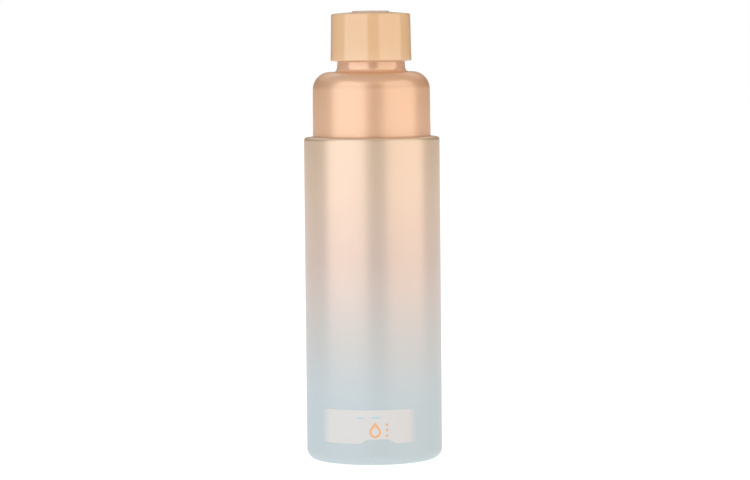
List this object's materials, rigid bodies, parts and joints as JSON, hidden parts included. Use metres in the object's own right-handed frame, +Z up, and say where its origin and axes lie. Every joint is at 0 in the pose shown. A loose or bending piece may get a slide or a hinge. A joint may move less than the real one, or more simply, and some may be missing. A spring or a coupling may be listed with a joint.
{
  "type": "airless foundation pump bottle",
  "caption": "Slim round airless pump bottle for liquid foundation, with a satin shoulder, a bright neck ring and a small pull-off cap.",
  "frame": {"origin": "centre of the base, on the surface that the bottle stands on", "axes": "+Z up along the bottle's axis, towards the cap; the nozzle and the shade label face -Y"},
  "size_m": [0.034, 0.034, 0.1122],
  "materials": {
    "pearl_coat": "satin pearlescent coating that fades from peach at the top to pale blue at the bottom",
    "label_film": "thin ivory film, satin",
    "peach_satin": "anodised, fine satin",
    "peach_bright": "anodised, bright polished",
    "peach_gloss": "moulded, high gloss",
    "disc_satin": "pale inlay, fine matte",
    "natural_plastic": "moulded polypropylene, slightly translucent",
    "white_plastic": "moulded, satin",
    "head_gloss": "moulded, ivory gloss",
    "seal_soft": "soft sealing elastomer",
    "spring_steel": "drawn stainless wire",
    "ball_steel": "polished stainless"
  },
  "bodies": {
    "pack": {"outer_body": "pearl_coat", "shade_label": "label_film", "inner_bottle": "natural_plastic", "bottom_plate": "natural_plastic", "shoulder_shell": "peach_satin", "neck_ring": "peach_bright", "pump_collar": "white_plastic", "neck_gasket": "seal_soft", "pump_housing": "natural_plastic", "valve_seat": "white_plastic", "ball_retainer": "white_plastic", "return_spring": "spring_steel", "stem_guide": "white_plastic"},
    "cap": {"cap_shell": "peach_gloss", "cap_liner": "natural_plastic", "cap_disc": "disc_satin"},
    "stem": {"pump_stem": "white_plastic", "plunger": "white_plastic"},
    "head": {"pump_head": "head_gloss", "nozzle_insert": "white_plastic"},
    "seal": {"pump_piston": "seal_soft"},
    "follower": {"follower_piston": "white_plastic"},
    "ball": {"inlet_ball": "ball_steel"}
  },
  "joints": [
    {"name": "cap_pull", "type": "slide", "parent": "pack", "child": "cap", "axis": [0, 0, 1], "range_m": [0, 0.018]},
    {"name": "pump_press", "type": "slide", "parent": "pack", "child": "stem", "axis": [0, 0, -1], "range_m": [0, 0.0038], "stiffness_N_per_m": 1200, "springref_m": -0.004, "deforming": ["return_spring"]},
    {"name": "head_turn", "type": "hinge", "parent": "stem", "child": "head", "pos_m": [0, 0, 0.102], "axis": [0, 0, 1], "continuous": true},
    {"name": "piston_shift", "type": "slide", "parent": "stem", "child": "seal", "axis": [0, 0, 1], "range_m": [0, 0.0008]},
    {"name": "follower_rise", "type": "slide", "parent": "pack", "child": "follower", "axis": [0, 0, 1], "range_m": [0, 0.06]},
    {"name": "ball_lift", "type": "slide", "parent": "pack", "child": "ball", "axis": [0, 0, 1], "range_m": [0, 0.0007]}
  ]
}
